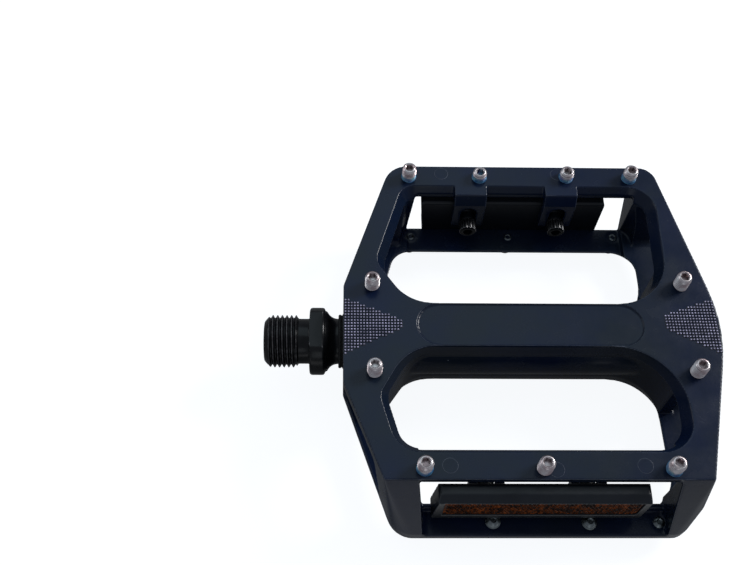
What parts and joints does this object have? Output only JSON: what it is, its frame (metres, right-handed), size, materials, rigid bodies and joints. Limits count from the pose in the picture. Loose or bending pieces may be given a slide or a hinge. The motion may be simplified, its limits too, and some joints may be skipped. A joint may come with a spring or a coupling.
{
  "type": "flat pedal",
  "caption": "Flat bicycle pedal: hollow cast cage with screwed-in grip pins and amber side reflectors, free to spin on a threaded cup-and-cone spindle.",
  "frame": {"origin": "on the spindle axis, at the shoulder that seats on the crank arm", "axes": "+X along the spindle away from the crank, +Y across the pedal in the riding direction, +Z out of the upper face"},
  "size_m": [0.122, 0.1024, 0.032],
  "materials": {
    "cage": "semi-gloss black paint on cast aluminium",
    "spindle": "satin black oxide on turned steel",
    "seal": "matt moulded rubber",
    "bearing_steel": "ground and hardened steel",
    "balls": "polished steel",
    "fastener_steel": "zinc-plated steel",
    "cap": "fine-grained moulded plastic",
    "housing": "satin moulded plastic",
    "lens": "amber prismatic plastic",
    "screws": "black-coated steel",
    "pins": "bright nickel-plated steel"
  },
  "bodies": {
    "spindle": {"spindle": "spindle", "cone_nut": "bearing_steel", "lock_washer": "fastener_steel", "lock_nut": "fastener_steel"},
    "cage": {"pedal_body": "cage", "dust_seal": "seal", "inner_bearing_cup": "bearing_steel", "outer_bearing_cup": "bearing_steel", "end_cap": "cap", "front_reflector_housing": "housing", "front_reflector_lens": "lens", "front_reflector_screws": "screws", "rear_reflector_housing": "housing", "rear_reflector_lens": "lens", "rear_reflector_screws": "screws", "top_wide_rail_pins": "pins", "top_narrow_rail_pins": "pins", "top_crank_side_pins": "pins", "top_outboard_side_pins": "pins", "bottom_wide_rail_pins": "pins", "bottom_narrow_rail_pins": "pins", "bottom_crank_side_pins": "pins", "bottom_outboard_side_pins": "pins"},
    "inner_balls": {"inner_bearing_balls": "balls"},
    "outer_balls": {"outer_bearing_balls": "balls"}
  },
  "joints": [
    {"name": "pedal_spin", "type": "hinge", "parent": "spindle", "child": "cage", "pos_m": [0, 0, 0], "axis": [1, 0, 0], "continuous": true},
    {"name": "inner_ball_train", "type": "hinge", "parent": "spindle", "child": "inner_balls", "pos_m": [0, 0, 0], "axis": [1, 0, 0], "continuous": true},
    {"name": "outer_ball_train", "type": "hinge", "parent": "spindle", "child": "outer_balls", "pos_m": [0, 0, 0], "axis": [1, 0, 0], "continuous": true}
  ],
  "couplings": [
    {"joint": "inner_ball_train", "follows": "pedal_spin", "ratio": 0.58076},
    {"joint": "outer_ball_train", "follows": "pedal_spin", "ratio": 0.59513}
  ]
}
